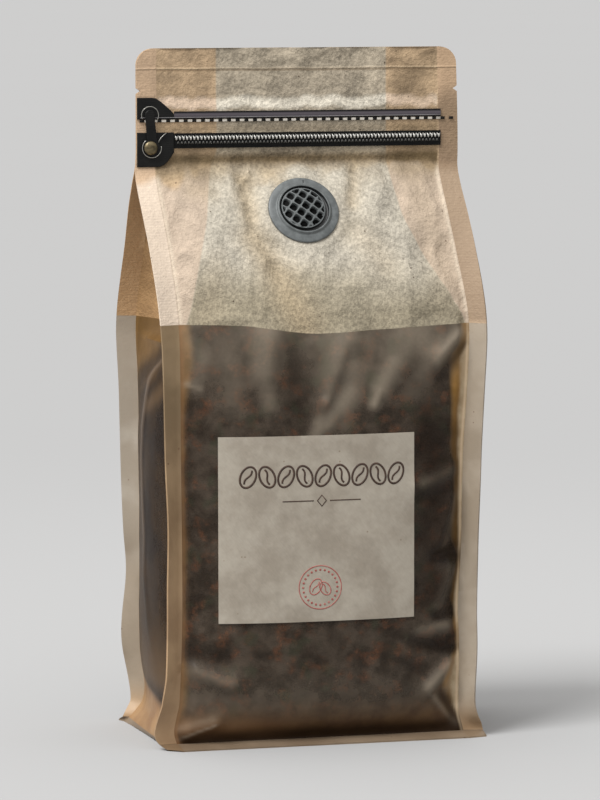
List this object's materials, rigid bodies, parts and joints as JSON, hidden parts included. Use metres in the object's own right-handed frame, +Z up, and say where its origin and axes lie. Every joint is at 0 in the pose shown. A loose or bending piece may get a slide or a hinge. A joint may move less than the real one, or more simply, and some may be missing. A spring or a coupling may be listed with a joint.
{
  "type": "stand-up coffee pouch",
  "caption": "Filled flat-bottom coffee pouch with corner seals, folded side gussets, a kraft top, a frosted window, a plain label, a degassing valve and a zip across its flap.",
  "frame": {"origin": "on the floor under the middle of the pouch", "axes": "+Z up, the front with label and valve faces -Y, +X to the right seen from the front"},
  "size_m": [0.1423, 0.0885, 0.287],
  "materials": {
    "film": "brown kraft paper laminate above, frosted translucent film below, satin",
    "label_paper": "matt uncoated paper with small flecks",
    "valve_plastic": "grey moulded plastic, satin",
    "valve_rubber": "black rubber, matt",
    "zip_black": "black printed tape, satin",
    "teeth_metal": "pale metal, satin",
    "rivet_brass": "aged brass, polished dome"
  },
  "bodies": {
    "root": {"pouch": "film", "label": "label_paper", "valve_body": "valve_plastic", "valve_disc": "valve_rubber", "zip_band_upper": "zip_black", "zip_band_lower": "zip_black", "zip_teeth": "teeth_metal", "zip_patch_upper": "zip_black", "zip_patch_lower": "zip_black", "zip_pull": "zip_black", "zip_rivet": "rivet_brass"}
  },
  "joints": []
}
